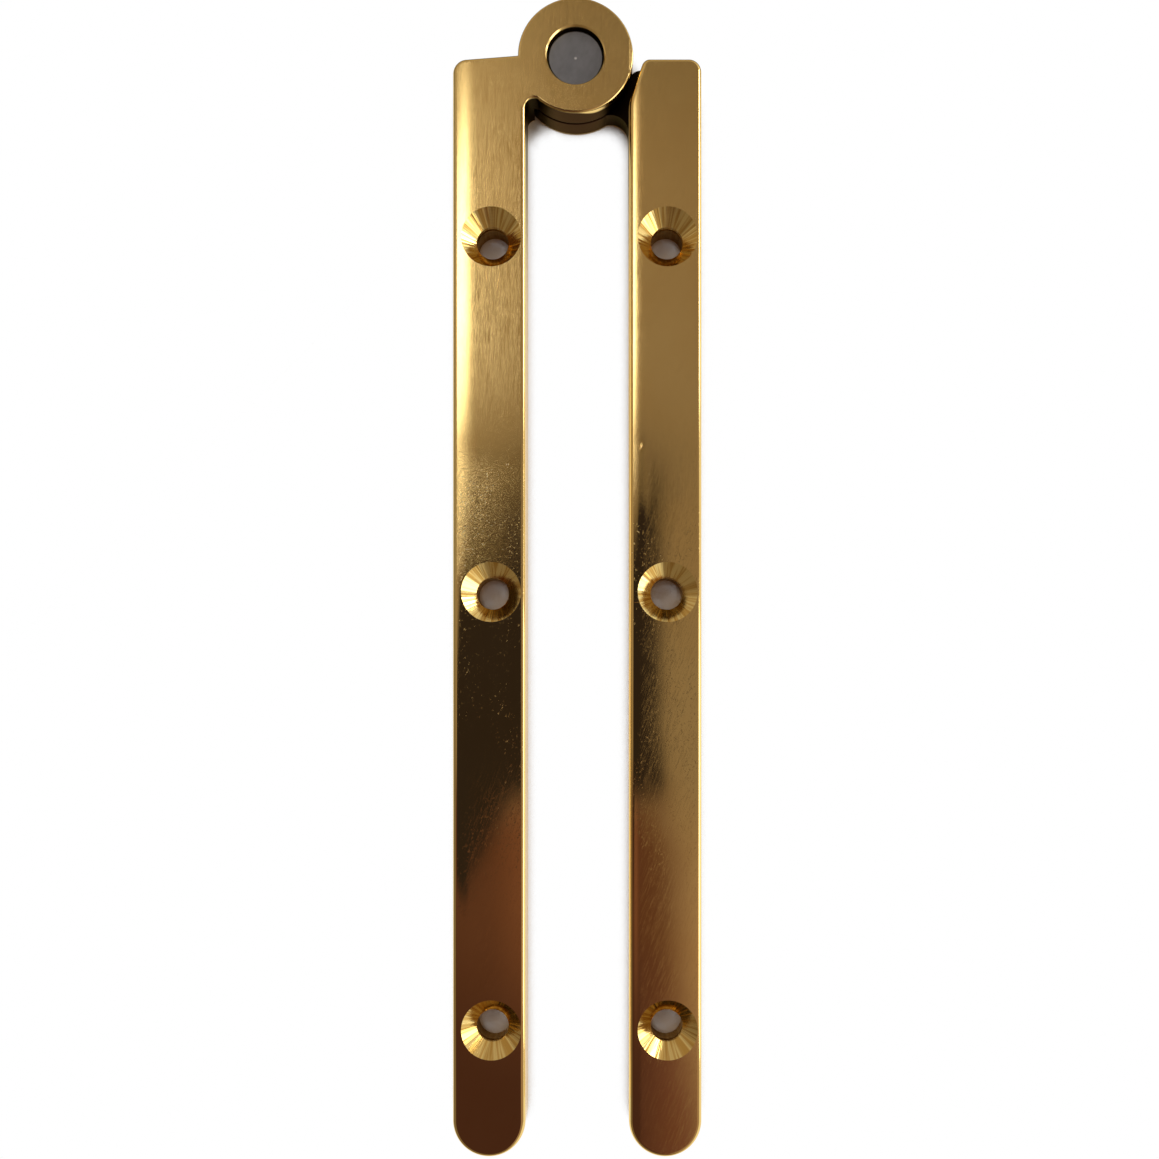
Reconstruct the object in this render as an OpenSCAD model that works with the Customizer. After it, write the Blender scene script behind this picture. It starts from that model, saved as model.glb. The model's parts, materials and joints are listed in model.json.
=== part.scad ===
// Scissor hinge: two brass bars whose end eyes lap one over the other on a steel pin.
// It lies on its back. The pin axis is Z, and the leaves run side by side towards -Y.

/* [Leaves] */
// Width of each leaf
leaf_w = 12.7; // [11.5:0.1:16]
// Thickness of each leaf
leaf_t = 6.35; // [5.5:0.05:9]
// Length of each leaf from the pin axis to its round tip
leaf_l = 193; // [185:1:260]
// Distance from the pin axis to the inner edge of the left leaf
left_gap = 8.8; // [8.2:0.1:9.8]
// Distance from the pin axis to the inner edge of the right leaf
right_gap = 9.4; // [8.6:0.1:9.8]
// Rise of the left leaf's top edge towards its eye, for each mm along the edge
left_top_slope = 0.07584; // [0.02:0.001:0.14]
// Height of that edge above the pin axis where it meets the eye
left_top_rise = 0.1; // [0.05:0.05:0.3]
// Drop of the right leaf's top edge below the pin axis
right_top_drop = 0.5; // [0.3:0.1:1.5]
// Radius of the leaves' top corners, seen from the front
corner_r = 2.2; // [1.3:0.1:2.5]

/* [Edges] */
// Rounding of the leaves' polished front edges
front_edge_r = 0.8; // [0.5:0.1:1.2]
// Rounding of the front edge round the left eye and in its inside corner
eye_edge_r = 0.4; // [0.2:0.1:0.5]
// Rounding of the edges that lie against the board
back_edge_r = 0.4; // [0.2:0.1:0.8]
// Rounding of the edges where the two eyes face each other
lap_edge_r = 0.2; // [0.1:0.05:0.4]

/* [Knuckle] */
// Outside diameter of both eyes
eye_d = 20.2; // [19.8:0.1:24]
// Gap between the lapped faces of the eyes
eye_gap = 0.15; // [0.1:0.05:0.4]
// Radius of the inside corner between the left leaf and its eye
left_cove_r = 1.6; // [1:0.1:3]
// Radius of the inside corner between the right leaf and its eye
right_cove_r = 3.2; // [1:0.1:4]
// Depth to which each inside corner runs into the line of its eye, leaving a small notch
cove_notch = 0.1; // [0.05:0.05:0.3]
// Radial clearance of the pocket that takes the right eye in the back of the left leaf
pocket_clearance = 0.5; // [0.3:0.1:0.8]
// Width of the relief on the right leaf's top edge, which clears the front eye
relief_w = 2.6; // [1.5:0.1:4]
// Length of that relief down the right leaf's inner edge
relief_l = 7.6; // [5:0.1:12]

/* [Pin] */
// Diameter of the pin, pressed into the right eye
pin_d = 10; // [6:0.1:12]
// Radial running clearance of the pin in the front eye
pin_clearance = 0.05; // [0.02:0.01:0.1]
// Depth of the pin's end below the front of the hinge
pin_front_recess = 0.9; // [0.2:0.1:1.2]
// Depth of the pin's end below the back of the hinge
pin_back_recess = 0.3; // [0.1:0.1:0.8]
// Chamfer on both ends of the pin
pin_chamfer = 0.25; // [0.1:0.05:0.5]
// Diameter of the centre mark that turning left on the pin's front end
centre_mark_d = 0.8; // [0.4:0.1:1.5]
// Chamfer at the front of the left eye's bore
bore_chamfer = 0.4; // [0.2:0.1:0.8]

/* [Screw holes] */
// Diameter of the screw holes
hole_d = 5.7; // [4:0.1:6]
// Diameter of the countersinks at the front face
csk_d = 10.5; // [8:0.1:11]
// Included angle of the countersinks, in degrees
csk_angle = 90; // [80:1:100]
// Distance of the first screw hole from the pin axis, along the leaf
first_hole = 31.8; // [27:0.1:50]
// Distance of the second screw hole from the pin axis
second_hole = 94; // [70:0.1:130]
// Distance of the last screw hole from the leaf's tip
last_hole = 22.3; // [12:0.1:35]
// Sideways shift of the holes from the middle of each leaf, towards +X
hole_shift = 0.4; // [0:0.1:0.8]

/* [Hidden] */
$fn = 64;
brass = [0.74, 0.56, 0.28];
steel = [0.43, 0.42, 0.41];
eye_r = eye_d / 2;
lap_t = (leaf_t - eye_gap) / 2;
left_mid = -left_gap - leaf_w / 2;
right_mid = right_gap + leaf_w / 2;
rim_depth = 1.5 * front_edge_r;
rim_inset = 1.2 * front_edge_r;
left_cove_depth = 2.5 * front_edge_r;
right_cove_depth = right_cove_r / 2 + 3 * back_edge_r;
web_reach = 0.7 * eye_r;
csk_depth = (csk_d - hole_d) / 2 / tan(csk_angle / 2);
over = 1;

// Height of the left leaf's sloping top edge at x
function left_top_y(x) = left_top_rise + (x + eye_r) * tan(asin(left_top_slope));

// The slope begins just inside the outer corner, at a height kept to whole hundredths
slope_start = corner_r - left_gap - leaf_w;
left_top_low = round(100 * left_top_y(slope_start + 0.4 * corner_r)) / 100;

// Discs [x, y, r] whose taut outline is a leaf, anticlockwise from its top right corner
function leaf_discs(x_low, top_y) = [
    [x_low + leaf_w - corner_r, top_y - corner_r, corner_r],
    [x_low + corner_r, top_y - corner_r, corner_r],
    [x_low + leaf_w / 2, leaf_w / 2 - leaf_l, leaf_w / 2]
];

function on_slope(x) = [x, left_top_y(x)];
function centre(disc) = [disc.x, disc.y];
function polar(r, a) = [r * cos(a), r * sin(a)];

// Direction of the outward normal of the straight edge between two discs of an outline
function edge_normal(a, b) =
    let (d = centre(b) - centre(a))
    atan2(d.y, d.x) - acos((a.z - b.z) / norm(d));

// Centre of an inside corner of radius r between the eye and the line x = side * gap
function cove_centre(side, gap, r) =
    [side * (gap - r), -sqrt(pow(eye_r + r - cove_notch, 2) - pow(gap - r, 2))];

// Section across a plate's edge: the outside is at x = depth, and the front is at y = t
module edge_section(depth, t, front_r, back_r) {
    translate([0, back_r]) square([depth, t - front_r - back_r]);
    translate([0, t - front_r]) square([depth - front_r, front_r]);
    translate([depth - front_r, t - front_r]) circle(front_r);
    square([depth - back_r, back_r]);
    translate([depth - back_r, back_r]) circle(back_r);
}

// Straight edge from p to q, with the plate on its left
module edge_line(p, q, depth, t, front_r, back_r) {
    d = q - p;
    translate(p) rotate(atan2(d.y, d.x)) rotate([90, 0, 90]) linear_extrude(norm(d))
        translate([depth, 0]) mirror([1, 0]) edge_section(depth, t, front_r, back_r);
}

// Outside corner of radius r, solid to its centre
module edge_arc(c, r, start, sweep, t, front_r, back_r) {
    translate(c) rotate(start) rotate_extrude(angle = sweep) edge_section(r, t, front_r, back_r);
}

// Inside corner of radius r, solid for some depth behind its face
module edge_cove(c, r, start, sweep, depth, t, front_r, back_r) {
    translate(c) rotate(start) rotate_extrude(angle = sweep)
        translate([r + depth, 0]) mirror([1, 0]) edge_section(depth, t, front_r, back_r);
}

// Plate with rounded edges, whose outline runs taut round the discs
module rounded_plate(discs, t, front_r, back_r) {
    n = len(discs);
    normals = [for (i = [0 : n - 1]) edge_normal(discs[i], discs[(i + 1) % n])];
    for (i = [0 : n - 1]) {
        a = discs[i];
        b = discs[(i + 1) % n];
        start = normals[(i + n - 1) % n];
        sweep = (normals[i] - start + 720) % 360;
        edge_arc(centre(a), a.z, start, sweep, t, front_r, back_r);
        edge_line(centre(a) + polar(a.z, normals[i]), centre(b) + polar(b.z, normals[i]),
                  rim_depth, t, front_r, back_r);
    }
    linear_extrude(t) polygon([
        for (i = [0 : n - 1]) for (d = [discs[i], discs[(i + 1) % n]])
            centre(d) + polar(d.z - rim_inset, normals[i])
    ]);
}

// One eye, as thick as half the hinge
module eye(front_r, back_r) {
    edge_arc([0, 0], eye_r, 0, 360, lap_t, front_r, back_r);
}

// Inside corner between an eye and the leaf at one side: -1 is left, 1 is right
module cove(side, gap, r, depth, t, front_r, back_r) {
    c = cove_centre(side, gap, r);
    to_eye = atan2(-c.y, -c.x);
    to_leaf = side < 0 ? 180 : 0;
    edge_cove(c, r, to_leaf, to_eye - to_leaf, depth, t, front_r, back_r);
}

// Countersunk screw holes of the leaf whose middle line is at x
module screw_holes(x) {
    for (y = [-first_hole, -second_hole, last_hole - leaf_l]) translate([x + hole_shift, y, 0]) {
        translate([0, 0, -over]) cylinder(d = hole_d, h = leaf_t + over);
        translate([0, 0, leaf_t - csk_depth])
            cylinder(d1 = hole_d, d2 = csk_d + 2 * over * tan(csk_angle / 2), h = csk_depth + over);
    }
}

// Waste beyond a straight edge from p to q on the front of a plate, for an edge with a rounded front
module edge_waste(p, q, width, t, front_r) {
    d = q - p;
    translate(p) rotate(atan2(d.y, d.x)) rotate([90, 0, 90]) linear_extrude(norm(d)) {
        translate([-width, 0]) square([width, t + over]);
        difference() {
            translate([-over, t - front_r]) square([front_r + over, front_r + over]);
            translate([front_r, t - front_r]) circle(front_r);
        }
    }
}

// Relief on the front of the right leaf, cut back to the level of its own eye
module relief() {
    top = [right_gap + relief_w, -right_top_drop];
    low = [right_gap, -right_top_drop - relief_l];
    run = (top - low) / norm(top - low);
    translate([0, 0, lap_t])
        edge_waste(top + 2 * over * run, low - 4 * over * run, 2 * relief_w, leaf_t - lap_t, front_edge_r);
}

module left_leaf() color(brass) difference() {
    union() {
        difference() {
            union() {
                rounded_plate(leaf_discs(-left_gap - leaf_w, left_top_low), leaf_t, front_edge_r, back_edge_r);
                edge_line(on_slope(-web_reach), on_slope(slope_start), web_reach,
                          leaf_t, front_edge_r, back_edge_r);
                cove(-1, left_gap, left_cove_r, left_cove_depth, leaf_t, eye_edge_r, back_edge_r);
            }
            translate([0, 0, -over]) cylinder(r = eye_r + pocket_clearance, h = leaf_t - lap_t + over);
        }
        translate([0, 0, leaf_t - lap_t]) eye(eye_edge_r, lap_edge_r);
    }
    cylinder(d = pin_d + 2 * pin_clearance, h = leaf_t + over);
    translate([0, 0, leaf_t - bore_chamfer])
        cylinder(r1 = pin_d / 2 + pin_clearance, r2 = pin_d / 2 + pin_clearance + bore_chamfer + over,
                 h = bore_chamfer + over);
    screw_holes(left_mid);
}

// Filling between the right leaf and its eye, down to just behind the face of the inside corner
module right_web() {
    cove_top = cove_centre(1, right_gap, right_cove_r).y + right_cove_r;
    low = [web_reach - front_edge_r, cove_top + 1.25 * back_edge_r];
    high = [right_gap + 2 * front_edge_r, -right_top_drop - rim_inset];
    translate(low) cube([high.x - low.x, high.y - low.y, lap_t]);
}

module right_leaf() color(brass) difference() {
    union() {
        difference() {
            rounded_plate(leaf_discs(right_gap, -right_top_drop), leaf_t, front_edge_r, back_edge_r);
            relief();
        }
        right_web();
        cove(1, right_gap, right_cove_r, right_cove_depth, lap_t, lap_edge_r, back_edge_r);
        eye(lap_edge_r, back_edge_r);
    }
    translate([0, 0, -over]) cylinder(d = pin_d, h = leaf_t);
    screw_holes(right_mid);
}

module hinge_pin() color(steel) {
    low = pin_back_recess;
    high = leaf_t - pin_front_recess;
    r = pin_d / 2;
    difference() {
        rotate_extrude() polygon([
            [0, low], [r - pin_chamfer, low], [r, low + pin_chamfer],
            [r, high - pin_chamfer], [r - pin_chamfer, high], [0, high]
        ]);
        translate([0, 0, high - centre_mark_d / 2])
            cylinder(r1 = 0, r2 = centre_mark_d / 2 + over, h = centre_mark_d / 2 + over);
    }
}

left_leaf();
right_leaf();
hinge_pin();
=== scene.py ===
import json
import math
from contextlib import contextmanager

import bmesh
import bpy
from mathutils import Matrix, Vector


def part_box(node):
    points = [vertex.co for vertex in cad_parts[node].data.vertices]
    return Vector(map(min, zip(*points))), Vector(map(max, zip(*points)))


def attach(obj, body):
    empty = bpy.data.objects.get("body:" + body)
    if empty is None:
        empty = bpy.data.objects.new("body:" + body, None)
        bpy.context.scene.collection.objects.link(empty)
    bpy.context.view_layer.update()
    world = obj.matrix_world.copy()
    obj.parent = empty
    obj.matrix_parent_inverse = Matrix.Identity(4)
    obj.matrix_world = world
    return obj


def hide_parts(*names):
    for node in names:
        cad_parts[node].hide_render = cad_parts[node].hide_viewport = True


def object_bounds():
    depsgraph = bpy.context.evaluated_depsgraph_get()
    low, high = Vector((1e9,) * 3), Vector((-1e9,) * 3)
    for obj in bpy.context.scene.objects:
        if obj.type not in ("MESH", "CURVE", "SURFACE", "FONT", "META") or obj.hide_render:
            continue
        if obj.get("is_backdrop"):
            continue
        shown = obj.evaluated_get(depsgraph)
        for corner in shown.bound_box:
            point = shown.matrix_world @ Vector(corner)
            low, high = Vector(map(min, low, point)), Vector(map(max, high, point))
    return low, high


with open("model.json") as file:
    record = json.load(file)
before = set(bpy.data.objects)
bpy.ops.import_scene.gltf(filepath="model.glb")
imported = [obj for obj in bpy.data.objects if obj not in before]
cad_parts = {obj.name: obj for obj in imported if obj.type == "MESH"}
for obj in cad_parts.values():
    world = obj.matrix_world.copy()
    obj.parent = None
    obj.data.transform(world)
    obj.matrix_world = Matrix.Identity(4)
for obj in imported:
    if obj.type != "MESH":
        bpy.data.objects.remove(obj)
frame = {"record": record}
cad_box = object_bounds()

# Sizes of the hinge, in millimetres. The pieces are modelled in millimetres and then shrunk to metres.
MM = 0.001
left_low, left_high = (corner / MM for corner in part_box("left_leaf"))
right_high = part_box("right_leaf")[1] / MM
pin_low, pin_high = (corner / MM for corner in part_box("hinge_pin"))

LEAF_T = left_high.z
LEAF_W = 12.7
LEAF_L = 193.0
EYE_R = 10.1
LEFT_INNER = left_low.x + LEAF_W
RIGHT_INNER = right_high.x - LEAF_W
RIGHT_TOP = -0.5
TOP_SLOPE = 0.076
TOP_RISE = 0.1
CORNER_R = 2.2
WEB_REACH = 7.0
EYE_GAP = 0.15
LAP_T = (LEAF_T - EYE_GAP) / 2
POCKET_R = EYE_R + 0.5
LEFT_COVE_R = 1.6
RIGHT_COVE_R = 3.2
COVE_NOTCH = 0.1
RELIEF_W = 2.6
RELIEF_L = 7.6
RELIEF_TOP_R = 1.0
RELIEF_LOW_R = 1.2
FRONT_EDGE = 0.8
EYE_EDGE = 0.4
BACK_EDGE = 0.4
LAP_EDGE = 0.2
BORE_R = 5.05
BORE_CHAMFER = 0.22
PIN_R = pin_high.x
PIN_CHAMFER = 0.25
PIP_R = 0.25
PIP_TIP_R = 0.02
PIP_DEPTH = 0.13
CSK_R = 5.25
CSK_HALF_ANGLE = math.radians(45)

# Cutters and fillings reach past what they meet, by shares of OVER that keep two faces from coinciding
OVER = 1.0

# How close counts as the same place: on flat faces, on round ones, and for points to be merged
NEAR = 1e-3
ROUND_NEAR = 0.02
SAME = 1e-4
SMOOTH_ANGLE = math.radians(32)

# Steps along the round shapes
EYE_STEPS = 224
TIP_STEPS = 56
CORNER_STEPS = 14
COVE_STEPS = 96
EDGE_STEPS = 9
LAP_STEPS = 3
DRILL_STEPS = 132
PIP_STEPS = 32


def left_top(x):
    """Height of the left leaf's sloping top edge."""
    return TOP_RISE + (x + EYE_R) * TOP_SLOPE


def screw_holes(side):
    """Centres and radius of one leaf's screw holes, from the record's mounts."""
    names = (f"{side}_upper_screws", f"{side}_lower_screws")
    rows = [mount for mount in frame["record"]["mounts"] if mount["name"] in names]
    x = rows[0]["pos_m"][0] / MM
    ends = [row["pos_m"][1] / MM + way * row["dims"]["spacing_y_mm"] / 2 for row in rows for way in (1, -1)]
    return [(x, y) for y in sorted({round(end, 3) for end in ends})], rows[0]["dims"]["hole_r_mm"]


# Modelling helpers

def select_only(piece):
    bpy.ops.object.select_all(action="DESELECT")
    piece.select_set(True)
    bpy.context.view_layer.objects.active = piece


@contextmanager
def editing(piece, kind="EDGE"):
    """Edit mode on one piece with nothing selected; hands over its edit mesh for picking."""
    select_only(piece)
    bpy.ops.object.mode_set(mode="EDIT")
    bpy.ops.mesh.select_mode(type=kind)
    bpy.ops.mesh.select_all(action="DESELECT")
    yield bmesh.from_edit_mesh(piece.data)
    bpy.ops.object.mode_set(mode="OBJECT")


def pick(mesh, elements, wanted):
    """Selects the elements that the test wants, and nothing else."""
    bpy.ops.mesh.select_all(action="DESELECT")
    for element in elements:
        if wanted(element):
            element.select = True
    mesh.select_flush_mode()


def place_of(edge):
    return (edge.verts[0].co + edge.verts[1].co) / 2


def at_level(edge, z):
    return all(abs(v.co.z - z) < NEAR for v in edge.verts)


def upright(edge):
    return (edge.verts[0].co.xy - edge.verts[1].co.xy).length < SAME


def on_eye(edge):
    return abs(place_of(edge).xy.length - EYE_R) < ROUND_NEAR


def settle(piece, name):
    """Applies a new primitive's place and size to its mesh."""
    piece.name = name
    select_only(piece)
    bpy.ops.object.transform_apply(location=True, rotation=True, scale=True)
    return piece


def block(name, low, high):
    middle = (Vector(low) + Vector(high)) / 2
    bpy.ops.object.select_all(action="DESELECT")
    bpy.ops.mesh.primitive_cube_add(size=1, location=middle, scale=Vector(high) - Vector(low))
    return settle(bpy.context.object, name)


def rod(name, x, y, r, low, high, steps):
    bpy.ops.object.select_all(action="DESELECT")
    bpy.ops.mesh.primitive_cylinder_add(
        vertices=steps, radius=r, depth=high - low, location=(x, y, (low + high) / 2),
    )
    return settle(bpy.context.object, name)


def turned(name, x, y, profile, steps):
    """A turned solid: a circle that is pushed up and resized through the profile's [radius, height] steps."""
    bpy.ops.object.select_all(action="DESELECT")
    r, z = profile[0]
    bpy.ops.mesh.primitive_circle_add(vertices=steps, radius=r, fill_type="NGON", location=(x, y, z))
    piece = settle(bpy.context.object, name)
    with editing(piece, "FACE"):
        bpy.ops.mesh.select_all(action="SELECT")
        for next_r, next_z in profile[1:]:
            bpy.ops.mesh.extrude_region_move(TRANSFORM_OT_translate={"value": (0, 0, next_z - z)})
            bpy.ops.transform.resize(value=(next_r / r, next_r / r, 1), center_override=(x, y, next_z))
            r, z = next_r, next_z
        bpy.ops.mesh.select_all(action="SELECT")
        bpy.ops.mesh.normals_make_consistent(inside=False)
    return piece


def boolean(piece, tool, operation):
    """Joins the tool to the piece, or cuts the piece with it; the tool is used up."""
    select_only(piece)
    modifier = piece.modifiers.new("boolean", "BOOLEAN")
    modifier.operation = operation
    modifier.solver = "EXACT"
    modifier.object = tool
    bpy.ops.object.modifier_apply(modifier=modifier.name)
    bpy.data.objects.remove(tool)


def trim(piece, low, high):
    """Slices the piece flat at two levels."""
    with editing(piece, "FACE"):
        for z, keep_above in ((low, True), (high, False)):
            bpy.ops.mesh.select_all(action="SELECT")
            bpy.ops.mesh.bisect(
                plane_co=(0, 0, z), plane_no=(0, 0, 1), use_fill=True,
                clear_inner=keep_above, clear_outer=not keep_above, threshold=1e-5,
            )


def bevel(piece, wanted, width, steps):
    """Rounds the edges that the test wants."""
    with editing(piece) as mesh:
        pick(mesh, mesh.edges, wanted)
        bpy.ops.mesh.bevel(
            offset=width, offset_type="OFFSET", segments=steps, profile=0.5,
            affect="EDGES", clamp_overlap=False, miter_inner="SHARP", miter_outer="SHARP",
        )


def bevel_by_share(piece, wanted, share, width, steps):
    """Rounds the edges that the test wants, each by its own share of the width."""
    with editing(piece) as mesh:
        shares = {}
        for edge in mesh.edges:
            if wanted(edge):
                shares.setdefault(share(edge), []).append(edge.index)
        for part, numbers in shares.items():
            pick(mesh, mesh.edges, lambda e: e.index in numbers)
            bpy.ops.transform.edge_bevelweight(value=part)
    modifier = piece.modifiers.new("front edges", "BEVEL")
    modifier.limit_method = "WEIGHT"
    modifier.width = width
    modifier.segments = steps
    modifier.use_clamp_overlap = False
    bpy.ops.object.modifier_apply(modifier=modifier.name)


def weld(piece):
    with editing(piece, "VERT"):
        bpy.ops.mesh.select_all(action="SELECT")
        bpy.ops.mesh.remove_doubles(threshold=NEAR)


def finish_piece(piece, body, node, material):
    """Shades the piece, shrinks it to metres and sets it on its body in place of its solid."""
    with editing(piece, "FACE"):
        bpy.ops.mesh.select_all(action="SELECT")
        bpy.ops.mesh.remove_doubles(threshold=SAME)
        bpy.ops.mesh.normals_make_consistent(inside=False)
    select_only(piece)
    piece.scale = (MM, MM, MM)
    bpy.ops.object.transform_apply(location=True, rotation=True, scale=True)
    bpy.ops.object.shade_smooth_by_angle(angle=SMOOTH_ANGLE)
    normals = piece.modifiers.new("flat faces stay flat", "WEIGHTED_NORMAL")
    normals.keep_sharp = True
    normals.weight = 100
    bpy.ops.object.modifier_apply(modifier=normals.name)
    piece.data.materials.clear()
    piece.data.materials.append(material)
    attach(piece, body)
    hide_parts(node)


# The pieces of the hinge

def cove_centre(side, gap, r):
    """Middle of the round inside corner between an eye and a leaf that stands a gap away from the axis."""
    return Vector((side * (gap - r), -math.sqrt((EYE_R + r - COVE_NOTCH) ** 2 - (gap - r) ** 2)))


def cove_block(side, gap, r, low, high):
    """Filling of the inside corner between an eye and a leaf, hollowed by its round face."""
    centre = cove_centre(side, gap, r)
    touch = centre - r * centre.normalized()
    x_low, x_high = sorted((touch.x, side * (gap + OVER / 2)))
    filling = block("cove", (x_low, centre.y, low), (x_high, OVER - WEB_REACH, high))
    face = rod("cove_face", centre.x, centre.y, r, low - OVER, high + OVER, COVE_STEPS)
    boolean(filling, face, "DIFFERENCE")
    return filling


def drill(x, y, hole_r):
    """A countersink drill."""
    depth = (CSK_R - hole_r) / math.tan(CSK_HALF_ANGLE)
    top_r = CSK_R + OVER * math.tan(CSK_HALF_ANGLE)
    profile = [(hole_r, -OVER), (hole_r, LEAF_T - depth), (top_r, LEAF_T + OVER)]
    return turned("drill", x, y, profile, DRILL_STEPS)


def drill_holes(leaf, side):
    centres, hole_r = screw_holes(side)
    for x, y in centres:
        boolean(leaf, drill(x, y, hole_r), "DIFFERENCE")


def dent(leaf, x, y, size, turn):
    """A small mark of use: an ellipsoid pressed into the front face."""
    bpy.ops.object.select_all(action="DESELECT")
    bpy.ops.mesh.primitive_uv_sphere_add(
        segments=20, ring_count=12, radius=1, location=(x, y, LEAF_T),
        rotation=(0, 0, math.radians(turn)), scale=size,
    )
    boolean(leaf, settle(bpy.context.object, "dent"), "DIFFERENCE")


def round_tip(leaf):
    """Rounds a bar's low end to a half circle."""
    bevel(leaf, lambda e: upright(e) and abs(place_of(e).y + LEAF_L) < NEAR, LEAF_W / 2, TIP_STEPS)
    weld(leaf)


def make_left_leaf():
    """The leaf that carries the front eye, with the pocket behind it for the other one."""
    x_low = left_low.x
    cove = cove_centre(-1, -LEFT_INNER, LEFT_COVE_R)

    def outer_corner(edge):
        spot = place_of(edge)
        return upright(edge) and abs(spot.x - x_low) < NEAR and spot.y > OVER - WEB_REACH

    def share(edge):
        """Less on the eye and in its corner, which were cut after the bar's edges were rounded."""
        spot = place_of(edge).xy
        on_cove = abs((spot - cove).length - LEFT_COVE_R) < ROUND_NEAR and spot.y > cove.y
        return EYE_EDGE / FRONT_EDGE if on_eye(edge) or on_cove else 1.0

    leaf = block("left_leaf_brass", (x_low, -LEAF_L, -OVER), (LEFT_INNER, 0, LEAF_T + OVER))
    with editing(leaf, "FACE") as mesh:
        bpy.ops.mesh.select_all(action="SELECT")
        bpy.ops.mesh.bisect(plane_co=(0, -WEB_REACH, 0), plane_no=(0, 1, 0))
        pick(mesh, mesh.faces, lambda f: f.normal.x > 0.9 and f.calc_center_median().y > -WEB_REACH)
        reach = -WEB_REACH - LEFT_INNER
        bpy.ops.mesh.extrude_region_move(TRANSFORM_OT_translate={"value": (reach, 0, 0)})
    with editing(leaf, "VERT") as mesh:
        for x in (x_low, LEFT_INNER, -WEB_REACH):
            pick(mesh, mesh.verts, lambda v: abs(v.co.y) < SAME and abs(v.co.x - x) < NEAR)
            bpy.ops.transform.translate(value=(0, left_top(x), 0))
    round_tip(leaf)
    bevel(leaf, outer_corner, CORNER_R, CORNER_STEPS)
    boolean(leaf, rod("eye", 0, 0, EYE_R, -1.2 * OVER, LEAF_T + 1.2 * OVER, EYE_STEPS), "UNION")
    boolean(leaf, cove_block(-1, -LEFT_INNER, LEFT_COVE_R, -1.4 * OVER, LEAF_T + 1.4 * OVER), "UNION")
    trim(leaf, 0, LEAF_T)
    bevel_by_share(leaf, lambda e: at_level(e, LEAF_T), share, FRONT_EDGE, EDGE_STEPS)
    bevel(leaf, lambda e: at_level(e, 0), BACK_EDGE, EDGE_STEPS // 2)
    lap = LEAF_T - LAP_T
    boolean(leaf, rod("pocket", 0, 0, POCKET_R, -OVER, lap, EYE_STEPS), "DIFFERENCE")
    bevel(leaf, lambda e: at_level(e, lap) and on_eye(e), LAP_EDGE, LAP_STEPS)
    mouth = BORE_R + BORE_CHAMFER + OVER
    bore = [(BORE_R, 0), (BORE_R, LEAF_T - BORE_CHAMFER), (mouth, LEAF_T + OVER)]
    boolean(leaf, turned("bore", 0, 0, bore, EYE_STEPS), "DIFFERENCE")
    drill_holes(leaf, "left")
    dent(leaf, -13.45, -39.4, (0.07, 1.9, 0.05), -8)
    dent(leaf, -15.6, -38.6, (0.05, 1.3, 0.04), 4)
    return leaf


def relief_tool():
    """The cutter that clears the front eye from the right leaf's corner, down to the level of its own eye."""
    low_y, high_y = RIGHT_TOP - RELIEF_L - OVER, RIGHT_TOP + OVER
    tool = block("relief", (RIGHT_INNER - 2 * OVER, low_y, LAP_T), (RIGHT_INNER, high_y, LEAF_T + OVER))
    with editing(tool, "VERT") as mesh:
        for y in (low_y, high_y):
            pick(mesh, mesh.verts, lambda v: v.co.x > RIGHT_INNER - NEAR and abs(v.co.y - y) < NEAR)
            lean = (y - RIGHT_TOP + RELIEF_L) * RELIEF_W / RELIEF_L
            bpy.ops.transform.translate(value=(lean, 0, 0))
    return tool


def right_knuckle():
    """The right leaf's own eye and the web and cove that carry it, up to the lap face."""
    web_low = (0, -WEB_REACH, -1.1 * OVER)
    web_high = (RIGHT_INNER + CORNER_R, RIGHT_TOP - CORNER_R / 2, LEAF_T)
    knuckle = block("knuckle", web_low, web_high)
    boolean(knuckle, rod("eye", 0, 0, EYE_R, -1.2 * OVER, LEAF_T + OVER, EYE_STEPS), "UNION")
    boolean(knuckle, cove_block(1, RIGHT_INNER, RIGHT_COVE_R, -1.4 * OVER, LEAF_T + 1.4 * OVER), "UNION")
    trim(knuckle, -0.9 * OVER, LAP_T)
    return knuckle


def make_right_leaf():
    """The leaf that carries the back eye and the pin, with the relief that clears the front eye."""
    leaf = block("right_leaf_brass", (RIGHT_INNER, -LEAF_L, -OVER), (right_high.x, RIGHT_TOP, LEAF_T + OVER))
    round_tip(leaf)
    bevel(leaf, lambda e: upright(e) and abs(place_of(e).y - RIGHT_TOP) < NEAR, CORNER_R, CORNER_STEPS)
    boolean(leaf, relief_tool(), "DIFFERENCE")
    boolean(leaf, right_knuckle(), "UNION")
    trim(leaf, 0, LEAF_T)
    relief_corners = (
        (Vector((RIGHT_INNER + RELIEF_W, RIGHT_TOP)), RELIEF_TOP_R),
        (Vector((RIGHT_INNER, RIGHT_TOP - RELIEF_L)), RELIEF_LOW_R),
    )
    for corner, r in relief_corners:
        def at_corner(edge):
            spot = place_of(edge)
            return upright(edge) and (spot.xy - corner).length < ROUND_NEAR and spot.z > LAP_T
        bevel(leaf, at_corner, r, CORNER_STEPS // 2)
    bevel(leaf, lambda e: at_level(e, LEAF_T), FRONT_EDGE, EDGE_STEPS)
    bevel(leaf, lambda e: at_level(e, 0), BACK_EDGE, EDGE_STEPS // 2)
    bevel(leaf, lambda e: at_level(e, LAP_T) and on_eye(e), LAP_EDGE, LAP_STEPS)
    boolean(leaf, rod("bore", 0, 0, PIN_R, -OVER, LEAF_T, EYE_STEPS), "DIFFERENCE")
    drill_holes(leaf, "right")
    dent(leaf, 11.55, -68.4, (0.22, 0.75, 0.13), -18)
    dent(leaf, 11.0, -95.8, (0.75, 0.06, 0.06), 6)
    return leaf


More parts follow.
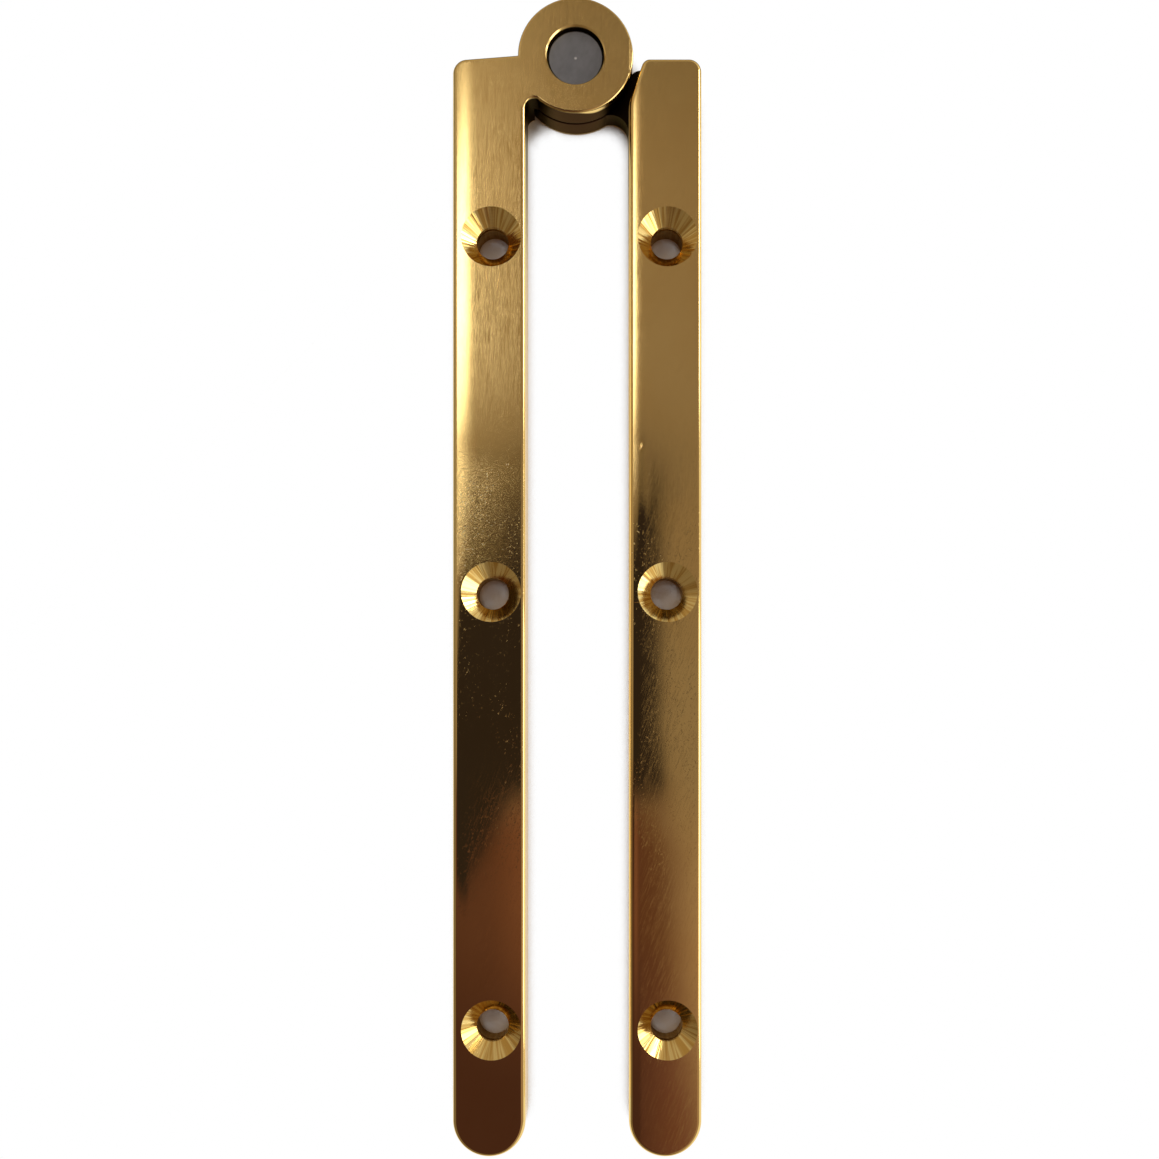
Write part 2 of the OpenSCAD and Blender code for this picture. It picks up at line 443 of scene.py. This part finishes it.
def make_pin():
    """The pin, with chamfered ends and the small centre mark of the lathe in its front."""
    front, back = pin_high.z, pin_low.z
    pin = turned("hinge_pin_steel", 0, 0, [
        (PIN_R - PIN_CHAMFER, back), (PIN_R, back + PIN_CHAMFER), (PIN_R, front - PIN_CHAMFER),
        (PIN_R - PIN_CHAMFER, front),
    ], EYE_STEPS // 2)
    pip = [(PIP_TIP_R, front - PIP_DEPTH), (3 * PIP_R, front + 2 * PIP_DEPTH)]
    boolean(pin, turned("pip", 0, 0, pip, PIP_STEPS), "DIFFERENCE")
    return pin


# Finishes

class Wire:
    """One shader socket. Arithmetic on wires adds Math nodes to their tree."""

    def __init__(self, tree, socket=None):
        self.tree = tree
        self.socket = socket

    def node(self, kind, settings=(), inputs=(), output=0):
        """Adds a node with its settings and its sockets' values or links, and returns one output."""
        made = self.tree.nodes.new(kind)
        for name, value in dict(settings).items():
            setattr(made, name, value)
        for name, value in dict(inputs).items():
            if isinstance(value, Wire):
                self.tree.links.new(value.socket, made.inputs[name])
            else:
                made.inputs[name].default_value = value
        return Wire(self.tree, made.outputs[output])

    def math(self, operation, *values):
        """A Math node on the values, in their order."""
        return self.node("ShaderNodeMath", {"operation": operation}, dict(enumerate(values)))

    def __add__(self, other):
        return self.math("ADD", self, other)

    __radd__ = __add__

    def __sub__(self, other):
        return self.math("SUBTRACT", self, other)

    def __rsub__(self, other):
        return self.math("SUBTRACT", other, self)

    def __mul__(self, other):
        return self.math("MULTIPLY", self, other)

    __rmul__ = __mul__

    def __truediv__(self, other):
        return self.math("DIVIDE", self, other)

    def __rtruediv__(self, other):
        return self.math("DIVIDE", other, self)

    def __neg__(self):
        return self * -1

    def __abs__(self):
        return self.math("ABSOLUTE", self)

    def cubed(self):
        return self * self * self

    def root(self):
        return self.math("SQRT", self)

    def sine(self):
        return self.math("SINE", self)

    def below(self, limit):
        """1 under the limit, and 0 from there on."""
        return self.math("LESS_THAN", self, limit)

    def least(self, other):
        return self.math("MINIMUM", self, other)

    def most(self, other):
        return self.math("MAXIMUM", self, other)

    def step(self, low, high):
        """Rises smoothly from 0 at low to 1 at high."""
        rise = {"interpolation_type": "SMOOTHSTEP"}
        return self.node("ShaderNodeMapRange", rise, {0: self, 1: low, 2: high, 3: 0, 4: 1})

    def fall(self, low, high):
        """Falls smoothly from 1 at low to 0 at high."""
        return 1 - self.step(low, high)

    def band(self, rise, fall):
        """1 between two soft edges, each given by its low and its high end, and 0 outside them."""
        return self.step(*rise) * self.fall(*fall)

    def split(self):
        """The three parts of a vector."""
        first = self.node("ShaderNodeSeparateXYZ", (), {0: self})
        return [Wire(self.tree, part) for part in first.socket.node.outputs]

    def join(self, x, y, z):
        return self.node("ShaderNodeCombineXYZ", (), {0: x, 1: y, 2: z})

    def stretched(self, scale, turn=0.0):
        """The vector turned about Z and then scaled, to aim and stretch a pattern."""
        turned_vector = self.node("ShaderNodeVectorRotate", {"rotation_type": "Z_AXIS"}, {0: self, 3: turn})
        return self.node("ShaderNodeVectorMath", {"operation": "MULTIPLY"}, {0: turned_vector, 1: scale})

    def noise(self, scale, detail=2.0, roughness=0.5, distortion=0.0):
        """Cloudy noise from 0 to 1 at this vector."""
        return self.node("ShaderNodeTexNoise", (), {
            "Vector": self, "Scale": scale, "Detail": detail,
            "Roughness": roughness, "Distortion": distortion,
        })

    def blend(self, first, second):
        """A colour between two, by this wire as the factor."""
        return self.node("ShaderNodeMix", {"data_type": "RGBA"}, {0: self, 6: first, 7: second}, 2)


def finish(name, metallic=1.0):
    """A new material: its shader, and a wire with the surface's place in millimetres."""
    material = bpy.data.materials.new(name)
    material.use_nodes = True
    tree = material.node_tree
    shader = tree.nodes["Principled BSDF"]
    shader.inputs["Metallic"].default_value = metallic
    place = Wire(tree).node("ShaderNodeTexCoord", (), (), "Object")
    place = place.node("ShaderNodeVectorMath", {"operation": "SCALE"}, {0: place, "Scale": 1 / MM})
    return material, shader, place


def feed(shader, socket, wire):
    wire.tree.links.new(wire.socket, shader.inputs[socket])


def feed_relief(shader, height):
    """Bump from a height in millimetres."""
    feed(shader, "Normal", height.node("ShaderNodeBump", (), {"Distance": MM, "Height": height}))


def rgb(red, green, blue):
    return (red, green, blue, 1.0)


# Colours of the metals and of what lies on them, with the painted shade and painted highlight among them
EDGE_TINT = rgb(0.95, 0.82, 0.58)
BRASS = rgb(0.90, 0.66, 0.26)
RED_BRASS = rgb(0.86, 0.60, 0.22)
DULL_BRASS = rgb(0.76, 0.51, 0.18)
# Soot darkened further as painted shade, for the walls below the front face at the knuckle
SOOT_AND_SHADE = rgb(0.036, 0.015, 0.008)
DEEP_SOOT_AND_SHADE = rgb(0.010, 0.006, 0.003)
SEAT_BRASS = rgb(0.92, 0.70, 0.28)
SEAT_STREAK = rgb(0.66, 0.40, 0.10)
# Painted shade deep in the screw holes
SHADED_BORE_BRASS = rgb(0.26, 0.14, 0.05)
STEEL = rgb(0.258, 0.266, 0.284)
SMEARED_STEEL = rgb(0.204, 0.211, 0.227)
# A painted highlight on the pin's centre mark
PAINTED_PIP_HIGHLIGHT = rgb(0.60, 0.60, 0.60)
# Oil with painted shade, for the gap at the pin's rim
OIL_AND_SHADE = rgb(0.012, 0.010, 0.008)

# Where the brass finish changes, in millimetres from the pin's axis: the two ends of each soft edge
SATIN_Y = (-86.0, -54.0)
LEFT_RUB_Y = ((-97.0, -88.0), (-75.0, -66.0))
RIGHT_RUB_Y = ((-82.0, -76.0), (-70.0, -66.0))
RIGHT_RUB_X = ((9.0, 11.0), (12.0, 14.0))
SPECKLED_Y = ((-165.0, -125.0), (-80.0, -60.0))

# Depths of the marks in the brass, in millimetres
HAIR_DEPTH = 0.0001
SATIN_HAIR_DEPTH = 0.0010
STRAY_DEPTH = 0.0005
RUB_DEPTH = 0.0021
SPECK_DEPTH = 0.003
GRAIN_DEPTH = 0.0001
SATIN_GRAIN_DEPTH = 0.0009

# The left edge of each leaf as the buffing wheel rolled it: how far it reaches across the leaf near the
# tip, how much further it reaches near the knuckle, and how fast it drops, with the cube of the distance
ROLL_Y = (-130.0, -70.0)
OUTER_ROLL = 3.2
OUTER_ROLL_MORE = 1.5
OUTER_ROLL_DROP = 0.0046
INNER_ROLL = 2.4
INNER_ROLL_MORE = 0.9
INNER_ROLL_DROP = 0.011

# The seats: the drill's rings in radians per millimetre, the heights between which the dull bore and its
# painted shade begin, and the slope by which the shading is tilted
RING_ANGLE = 38.0
BORE_Z = (2.6, 3.6)
SEAT_TILT = 0.12


def hairs(place, scale, turn, width):
    """Fine lines along one direction: the thin ridges where stretched noise crosses its middle value."""
    cloud = place.stretched(scale, turn).noise(1.0, 3.0, 0.6, 0.4)
    return 1 - (abs(cloud - 0.5) / width).least(1.0)


def off_axis(place):
    """Distance from the pin's axis."""
    x, y, _ = place.split()
    return (x * x + y * y).root()


def brass_colour(place):
    """Brass that is a little redder and duller in soft patches."""
    patch = place.stretched((0.05, 0.03, 0.05)).noise(1.0, 4.0, 0.6)
    speck = place.stretched((0.9, 0.5, 0.9), 0.6).noise(1.0, 3.0, 0.6)
    colour = patch.step(0.35, 0.7).blend(BRASS, RED_BRASS)
    return (speck.step(0.55, 0.8) * 0.3).blend(colour, DULL_BRASS)


def crown_height(place):
    """Height lost where the buffing wheel rolled over the left edge of each leaf, in millimetres."""
    x, y, z = place.split()
    upper = y.step(*ROLL_Y)
    from_outer = x - left_low.x
    from_inner = x - RIGHT_INNER
    outer_roll = (OUTER_ROLL + OUTER_ROLL_MORE * upper - from_outer).most(0.0)
    inner_roll = (INNER_ROLL + INNER_ROLL_MORE * upper - from_inner).most(0.0)
    outer_roll = outer_roll.least(OUTER_ROLL + OUTER_ROLL_MORE)
    inner_roll = inner_roll.least(INNER_ROLL + INNER_ROLL_MORE) * from_inner.step(-0.02, 0.0)
    lost = outer_roll.cubed() * OUTER_ROLL_DROP + inner_roll.cubed() * INNER_ROLL_DROP
    edge = LEAF_T - FRONT_EDGE
    return lost * z.step(edge - 0.1, edge + 0.4)


def rubbed_zones(place):
    """Where handling rubbed the front: above the left leaf's middle hole, and on a spot of the right leaf."""
    x, y, _ = place.split()
    left_rub = y.band(*LEFT_RUB_Y) * x.fall(-6.0, 6.0) * (1 - 0.5 * x.step(-18.0, -9.0))
    right_rub = y.band(*RIGHT_RUB_Y) * x.band(*RIGHT_RUB_X)
    return left_rub + 0.6 * right_rub


def grime_and_shade_zone(place):
    """Where dirt sits and shade is painted at the knuckle: on the walls below the front face, out of the
    wheel's reach.
    """
    x, y, z = place.split()
    from_pin = off_axis(place)
    lip = x.fall(0.0, 4.0) * from_pin.fall(12.0, 12.8) * y.fall(-7.0, -5.0)
    top = LEAF_T - 1.0 + 0.8 * lip
    around_pin = from_pin.fall(15.0, 48.0) * y.fall(2.0, 7.0) * abs(x).fall(11.0, 13.0)
    return around_pin * (z - top).fall(-0.2, 0.2) * z.step(0.05, 0.5)


def polished_brass():
    """Buffed bar: satin near the knuckle, mirror bright towards the tips, with the scratches of handling."""
    material, shader, place = finish("polished_brass")
    shader.inputs["Specular Tint"].default_value = EDGE_TINT
    x, y, _ = place.split()
    satin = y.step(*SATIN_Y)
    speckled = y.band(*SPECKLED_Y)
    rubbed = rubbed_zones(place)
    grime_and_shade = grime_and_shade_zone(place)

    along = hairs(place, (9.0, 0.25, 1.0), 0.03, 0.05)
    astray = hairs(place, (2.4, 0.10, 1.0), 0.35, 0.012)
    waves = hairs(place, (0.9, 7.0, 1.0), 0.10, 0.07) + hairs(place, (1.0, 6.0, 1.0), -0.55, 0.06)
    waves = waves + hairs(place, (1.1, 5.5, 1.0), 1.0, 0.05)
    grain = place.stretched((18.0, 2.2, 3.0)).noise(1.0, 3.0, 0.6)
    haze = place.stretched((0.12, 0.06, 0.2)).noise(1.0, 3.0, 0.6)
    specks = place.stretched((3.0, 1.9, 2.0), 0.5).noise(1.0, 2.0, 0.6).step(0.60, 0.70)
    specks = specks * haze.step(0.40, 0.55) * speckled
    smudge = place.stretched((1.1, 0.30, 1.0), 0.05).noise(1.0, 4.0, 0.65).step(0.48, 0.72) * speckled

    # Painted shade with dirt: the walls below the front face near the knuckle are painted soot dark
    soot_and_shade = abs(x).step(3.0, 8.0).blend(SOOT_AND_SHADE, DEEP_SOOT_AND_SHADE)
    feed(shader, "Base Color", grime_and_shade.blend(brass_colour(place), soot_and_shade))
    rough = 0.045 + 0.05 * rubbed + 0.03 * astray + 0.2 * grime_and_shade + 0.22 * specks + 0.05 * smudge
    rough = rough + satin * (0.07 + 0.03 * haze.step(0.45, 0.75) + 0.03 * grain + 0.06 * along)
    feed(shader, "Roughness", rough)
    marks = along * (HAIR_DEPTH + SATIN_HAIR_DEPTH * satin) + astray * STRAY_DEPTH
    marks = marks + waves * rubbed * RUB_DEPTH + specks * SPECK_DEPTH
    marks = marks + grain * (GRAIN_DEPTH + SATIN_GRAIN_DEPTH * satin)
    feed_relief(shader, -crown_height(place) - marks)
    return material


def around_hole(place):
    """How far a place lies across and along from the middle of the nearest screw hole."""
    x, y, _ = place.split()
    left_holes, _ = screw_holes("left")
    right_holes, _ = screw_holes("right")
    left_x, right_x = left_holes[0][0], right_holes[0][0]
    low_y, middle_y, high_y = (hole[1] for hole in left_holes)
    hole_x = right_x + (left_x - right_x) * x.below(0.0)
    hole_y = high_y + (middle_y - high_y) * y.below((high_y + middle_y) / 2)
    hole_y = hole_y + (low_y - middle_y) * y.below((middle_y + low_y) / 2)
    return x - hole_x, y - hole_y


def countersunk_brass():
    """The drilled seats and bores: machined brass with fine rings and chatter streaks, dull in the bore and
    painted dark there as shade.
    """
    material, shader, place = finish("countersunk_brass")
    shader.inputs["Specular Tint"].default_value = EDGE_TINT
    _, y, z = place.split()
    rings = (z * RING_ANGLE).sine()
    across, along = around_hole(place)
    r = (across * across + along * along).root().most(0.1)
    spoke = place.join(across / r, along / r, y * 0.02)
    streaks = spoke.noise(7.0, 2.0, 0.6)
    chatter = spoke.noise(3.0, 1.0)
    bore = z.fall(*BORE_Z)
    colour = streaks.step(0.40, 0.62).blend(SEAT_BRASS, SEAT_STREAK)
    # Painted shade: the bore below the seat is painted dark brown
    feed(shader, "Base Color", (bore * 0.8).blend(colour, SHADED_BORE_BRASS))
    feed(shader, "Roughness", 0.08 + 0.02 * rings + 0.05 * place.noise(0.8).step(0.4, 0.7) + 0.2 * bore)
    worn = (streaks * 0.09 + chatter * 0.12) * (r / CSK_R) - r * SEAT_TILT
    feed_relief(shader, rings * 0.0004 + worn * (1 - bore))
    return material


def turned_steel():
    """The pin's turned end: satin steel with faint rings, a painted highlight on its centre mark, and dark
    oil with painted shade at its rim.
    """
    material, shader, place = finish("turned_steel")
    r = off_axis(place)
    rings = (r * 30.0 + place.noise(0.7) * 3.0).sine()
    smear = place.stretched((0.35, 0.2, 1.0), 0.4).noise(1.0, 4.0, 0.6)
    # Painted shade with oil: the rim of the pin next to its bore is painted dark
    oil_and_shade = (r + 0.1 * smear).step(PIN_R - 0.38, PIN_R - 0.22)
    colour = smear.step(0.3, 0.75).blend(STEEL, SMEARED_STEEL)
    # Painted highlight: the centre mark is painted lighter
    colour = r.fall(0.10, 0.32).blend(colour, PAINTED_PIP_HIGHLIGHT)
    feed(shader, "Base Color", oil_and_shade.blend(colour, OIL_AND_SHADE))
    feed(shader, "Roughness", 0.42 + 0.06 * rings + 0.10 * smear)
    feed_relief(shader, rings * 0.0012 + place.noise(6.0) * 0.002)
    return material


def finish_holes(leaf, side):
    """Puts the leaf's second finish on the faces inside its screw holes."""
    centres, _ = screw_holes(side)

    def drilled(face):
        spot = face.calc_center_median().xy / MM
        near = any((spot - Vector(centre)).length < CSK_R + 0.05 for centre in centres)
        return near and -0.95 < face.normal.z < 0.9

    with editing(leaf, "FACE") as mesh:
        pick(mesh, mesh.faces, drilled)
        leaf.active_material_index = 1
        bpy.ops.object.material_slot_assign()


brass, seats, steel = polished_brass(), countersunk_brass(), turned_steel()
for side, leaf in (("left", make_left_leaf()), ("right", make_right_leaf())):
    finish_piece(leaf, f"{side}_leaf", f"{side}_leaf", brass)
    leaf.data.materials.append(seats)
    finish_holes(leaf, side)
finish_piece(make_pin(), "right_leaf", "hinge_pin", steel)

# The stage: floor, surroundings, lamps and camera

WHITE = rgb(1.0, 1.0, 1.0)
PAPER = rgb(0.72, 0.62, 0.49)
# Painted shade that the metal sees on the floor to the left of the hinge and above it
FLOOR_SHADE_IN_REFLECTION = rgb(0.16, 0.15, 0.13)
FLOOR_SIZE = 6
SHADOW_REACH = 0.005
SHADOW_SAMPLES = 12

# Colours of the room that the metal mirrors
CEILING_LEFT = rgb(0.33, 0.26, 0.20)
CEILING_RIGHT = rgb(0.28, 0.222, 0.178)
CEILING_LOW = rgb(0.38, 0.275, 0.22)
CEILING_HIGH_LEFT = rgb(0.42, 0.335, 0.26)
CEILING_HIGH_RIGHT = rgb(0.205, 0.162, 0.122)
RED_INNER = rgb(0.112, 0.050, 0.039)
RED_GLOW = rgb(0.190, 0.085, 0.062)
RED_OUTER = rgb(0.066, 0.029, 0.026)
RED_OUTER_RIGHT = rgb(0.160, 0.070, 0.062)
SHADE = rgb(0.028, 0.021, 0.021)
LOW_WALL = rgb(0.22, 0.17, 0.12)
HIGH_WALL = rgb(0.46, 0.39, 0.31)
RIGHT_WALL = rgb(1.0, 0.95, 0.86)
HORIZON = rgb(0.95, 0.94, 0.92)
WINDOW = rgb(4.0, 3.9, 3.9)


def light_paths(start):
    """1 for rays of each kind that can see the background: from the camera, off metal and through glass."""
    return [start.node("ShaderNodeLightPath", (), (), kind)
            for kind in ("Is Camera Ray", "Is Glossy Ray", "Is Transmission Ray")]


def make_floor():
    """White paper. It glows plain white, and takes the shadow where the hinge is close above it. The metal
    sees a painted shade on it to the left of the hinge and above it, which shows only in reflections."""
    bpy.ops.object.select_all(action="DESELECT")
    bpy.ops.mesh.primitive_plane_add(size=FLOOR_SIZE, location=(0, 0, 0))
    floor = bpy.context.object
    floor.name = "floor"
    floor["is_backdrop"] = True
    material, shader, place = finish("white_paper", metallic=0.0)
    shader.inputs["Base Color"].default_value = PAPER
    shader.inputs["Roughness"].default_value = 0.8
    shader.inputs["Specular IOR Level"].default_value = 0.1
    x, y, _ = place.split()
    occlusion = {"samples": SHADOW_SAMPLES}
    openness = place.node("ShaderNodeAmbientOcclusion", occlusion, {"Distance": SHADOW_REACH}, "AO")
    camera, glossy, through = light_paths(place)
    white = openness.step(0.40, 0.59) * camera.most(glossy).most(through)
    # Painted shade: glossy rays see the floor dark to the left of the hinge and above it, the camera does not
    outside_painted_shade = (x.step(-38.0, -25.0) * y.fall(0.0, 12.0)).most(camera)
    seen = outside_painted_shade.blend(FLOOR_SHADE_IN_REFLECTION, WHITE)
    glow = place.node("ShaderNodeEmission", (), {"Color": seen, "Strength": 1.0})
    tree = material.node_tree
    paper = Wire(tree, shader.outputs[0])
    mixed = place.node("ShaderNodeMixShader", (), {0: white, 1: paper, 2: glow})
    tree.links.new(mixed.socket, tree.nodes["Material Output"].inputs["Surface"])
    floor.data.materials.append(material)


def ceiling_colour(u, v, wavy):
    """The warm ceiling at places u across and v along, seen from below at a height of 1: a dark shade over
    the camera, and a red patch on its low side."""
    ceiling = u.step(-0.25, 0.0).blend(CEILING_LEFT, CEILING_RIGHT)
    ceiling = v.fall(-0.3, -0.05).blend(ceiling, CEILING_LOW)
    ceiling = (v.step(0.45, 0.72) * u.fall(-0.12, -0.07)).blend(ceiling, CEILING_HIGH_LEFT)
    ceiling = (v.step(0.60, 0.76) * u.step(-0.12, -0.04)).blend(ceiling, CEILING_HIGH_RIGHT)

    red = v.fall(-0.16, -0.04) * (u + 0.05 * wavy + 0.1 * v).fall(0.035, 0.095)
    inner = u.band((-0.13, -0.08), (-0.05, 0.03)).blend(RED_INNER, RED_GLOW)
    outer = u.step(0.02, 0.10).blend(RED_OUTER, RED_OUTER_RIGHT)
    ceiling = red.blend(ceiling, v.fall(-0.45, -0.2).blend(inner, outer))

    shade = u.step(-0.50, -0.36) * (u + 0.02 * wavy).fall(0.066, 0.078)
    lower_edge = v + 0.112 - 1.9 * (u + 0.1).least(0.0).most(-0.06) + 0.03 * wavy
    upper_edge = v - (u + 0.09).least(0.0).most(-0.07)
    shade = shade * lower_edge.step(-0.02, 0.02) * upper_edge.fall(0.24, 0.33)
    return shade.blend(ceiling, SHADE)


def make_surroundings():
    """The room that the metal mirrors: a warm ceiling, walls that are palest to the right, and a window at
    the upper left. The camera itself sees plain white."""
    world = bpy.data.worlds.new("studio")
    bpy.context.scene.world = world
    world.use_nodes = True
    tree = world.node_tree
    ray = Wire(tree).node("ShaderNodeTexCoord", (), (), "Generated")
    x, y, z = ray.split()
    up = z.most(0.05)
    u, v = x / up, y / up
    wavy = ray.stretched((9.0, 9.0, 9.0)).noise(1.0, 3.0) - 0.5
    walls = y.step(-0.2, 0.5).blend(LOW_WALL, HIGH_WALL)
    ceiling = (u * u + v * v).step(1.0, 2.2).blend(ceiling_colour(u, v, wavy), walls)
    walls = x.step(0.1, 0.7).blend(walls, RIGHT_WALL)
    horizon = z.fall(0.06, 0.16) * y.band((-0.75, -0.35), (0.6, 0.9)) * x.step(-0.6, -0.1)
    walls = horizon.blend(walls, HORIZON)
    room = z.fall(0.35, 0.66).blend(ceiling, walls)
    window = u.band((-0.76, -0.66), (-0.34, -0.17)) * v.band((0.29, 0.44), (0.60, 0.76))
    room = window.blend(room, WINDOW)
    camera, _, through = light_paths(ray)
    seen = camera.most(through).blend(room, WHITE)
    tree.links.new(seen.socket, tree.nodes["Background"].inputs["Color"])


def softbox(name, place, aim, size, energy, colour):
    data = bpy.data.lights.new(name, "AREA")
    data.shape = "RECTANGLE"
    data.size, data.size_y = size
    data.energy = energy
    data.color = colour
    lamp = bpy.data.objects.new(name, data)
    bpy.context.scene.collection.objects.link(lamp)
    lamp.location = place
    lamp.rotation_euler = (Vector(aim) - lamp.location).to_track_quat("-Z", "Y").to_euler()


# The photograph's frame: the camera looks straight down, over the point at this pixel
FRAME_PX = 1159
FOOT_PX = (600, 700)
FOOT = (0.0043, -0.1129)
EYE_HEIGHT = 0.160
DISTANCE_PX = 878.6
SENSOR_MM = 36


def make_camera():
    data = bpy.data.cameras.new("camera")
    camera = bpy.data.objects.new("camera", data)
    bpy.context.scene.collection.objects.link(camera)
    camera.location = (*FOOT, EYE_HEIGHT)
    data.sensor_width = SENSOR_MM
    data.lens = SENSOR_MM * DISTANCE_PX / FRAME_PX
    data.shift_x = (FRAME_PX / 2 - FOOT_PX[0]) / FRAME_PX
    data.shift_y = (FOOT_PX[1] - FRAME_PX / 2) / FRAME_PX
    data.clip_start = 0.005
    bpy.context.scene.camera = camera


bpy.context.scene.view_settings.view_transform = "Standard"
make_floor()
make_surroundings()
hinge_middle = (0.0, -0.09, 0.0)
softbox("right_softbox", (0.80, -0.25, 0.35), hinge_middle, (0.5, 0.6), 2.0, (1.0, 0.97, 0.92))
softbox("back_softbox", (0.75, 0.42, 0.33), hinge_middle, (0.4, 0.3), 2.0, (1.0, 0.97, 0.93))
make_camera()

[[list(corner) for corner in box] for box in (cad_box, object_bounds())]
